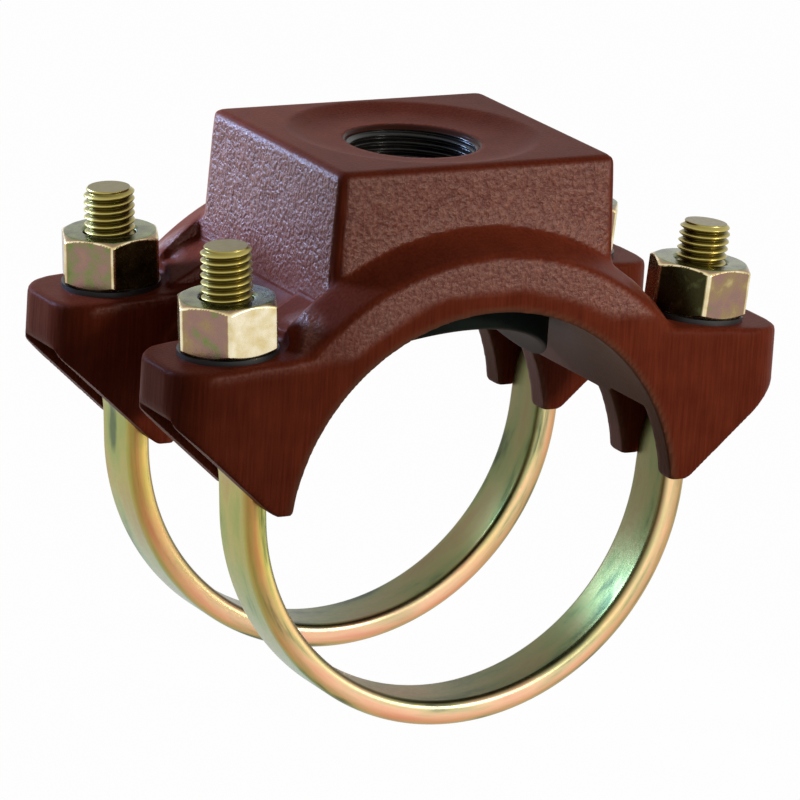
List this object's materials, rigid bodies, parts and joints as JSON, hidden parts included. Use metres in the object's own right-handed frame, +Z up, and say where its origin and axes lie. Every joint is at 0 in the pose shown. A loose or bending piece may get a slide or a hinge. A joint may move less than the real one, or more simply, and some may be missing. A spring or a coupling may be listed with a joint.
{
  "type": "double strap tapping saddle",
  "caption": "Cast saddle with a square boss and threaded outlet, held on a pipe by two flattened U straps with nuts and washers over a rubber gasket.",
  "frame": {"origin": "on the pipe's axis, below the centre of the outlet", "axes": "+Z up the outlet, Y along the pipe, X across it"},
  "size_m": [0.2114, 0.119, 0.1774],
  "materials": {
    "primed_casting": "red oxide primer over a sand-cast surface",
    "gasket_rubber": "moulded, matt",
    "zinc_strap": "zinc plated, yellow chromate",
    "zinc_nut": "zinc plated, yellow chromate",
    "washer_plastic": "moulded"
  },
  "bodies": {
    "saddle": {"saddle_body": "primed_casting", "outlet_gasket": "gasket_rubber", "washer_front_left": "washer_plastic", "washer_front_right": "washer_plastic", "washer_rear_left": "washer_plastic", "washer_rear_right": "washer_plastic"},
    "strap_front": {"strap_front": "zinc_strap"},
    "strap_rear": {"strap_rear": "zinc_strap"},
    "nut_front_left": {"nut_front_left": "zinc_nut"},
    "nut_front_right": {"nut_front_right": "zinc_nut"},
    "nut_rear_left": {"nut_rear_left": "zinc_nut"},
    "nut_rear_right": {"nut_rear_right": "zinc_nut"}
  },
  "joints": [
    {"name": "strap_front_draw", "type": "slide", "parent": "saddle", "child": "strap_front", "axis": [0, 0, 1], "range_m": [-0.007, 0.004]},
    {"name": "strap_rear_draw", "type": "slide", "parent": "saddle", "child": "strap_rear", "axis": [0, 0, 1], "range_m": [-0.007, 0.004]},
    {"name": "nut_front_left_turn", "type": "hinge", "parent": "saddle", "child": "nut_front_left", "pos_m": [-0.08125, -0.0405, 0.0557], "axis": [-0.0785, 0, 0.9969], "range_deg": [-625, 1093]},
    {"name": "nut_front_right_turn", "type": "hinge", "parent": "saddle", "child": "nut_front_right", "pos_m": [0.08125, -0.0405, 0.0557], "axis": [0.0785, 0, 0.9969], "range_deg": [-625, 1093]},
    {"name": "nut_rear_left_turn", "type": "hinge", "parent": "saddle", "child": "nut_rear_left", "pos_m": [-0.08125, 0.0405, 0.0557], "axis": [-0.0785, 0, 0.9969], "range_deg": [-625, 1093]},
    {"name": "nut_rear_right_turn", "type": "hinge", "parent": "saddle", "child": "nut_rear_right", "pos_m": [0.08125, 0.0405, 0.0557], "axis": [0.0785, 0, 0.9969], "range_deg": [-625, 1093]}
  ],
  "couplings": [
    {"joint": "nut_front_left_turn", "follows": "strap_front_draw", "rad_per_m": -2721.1},
    {"joint": "nut_front_right_turn", "follows": "strap_front_draw", "rad_per_m": -2721.1},
    {"joint": "nut_rear_left_turn", "follows": "strap_rear_draw", "rad_per_m": -2721.1},
    {"joint": "nut_rear_right_turn", "follows": "strap_rear_draw", "rad_per_m": -2721.1}
  ]
}
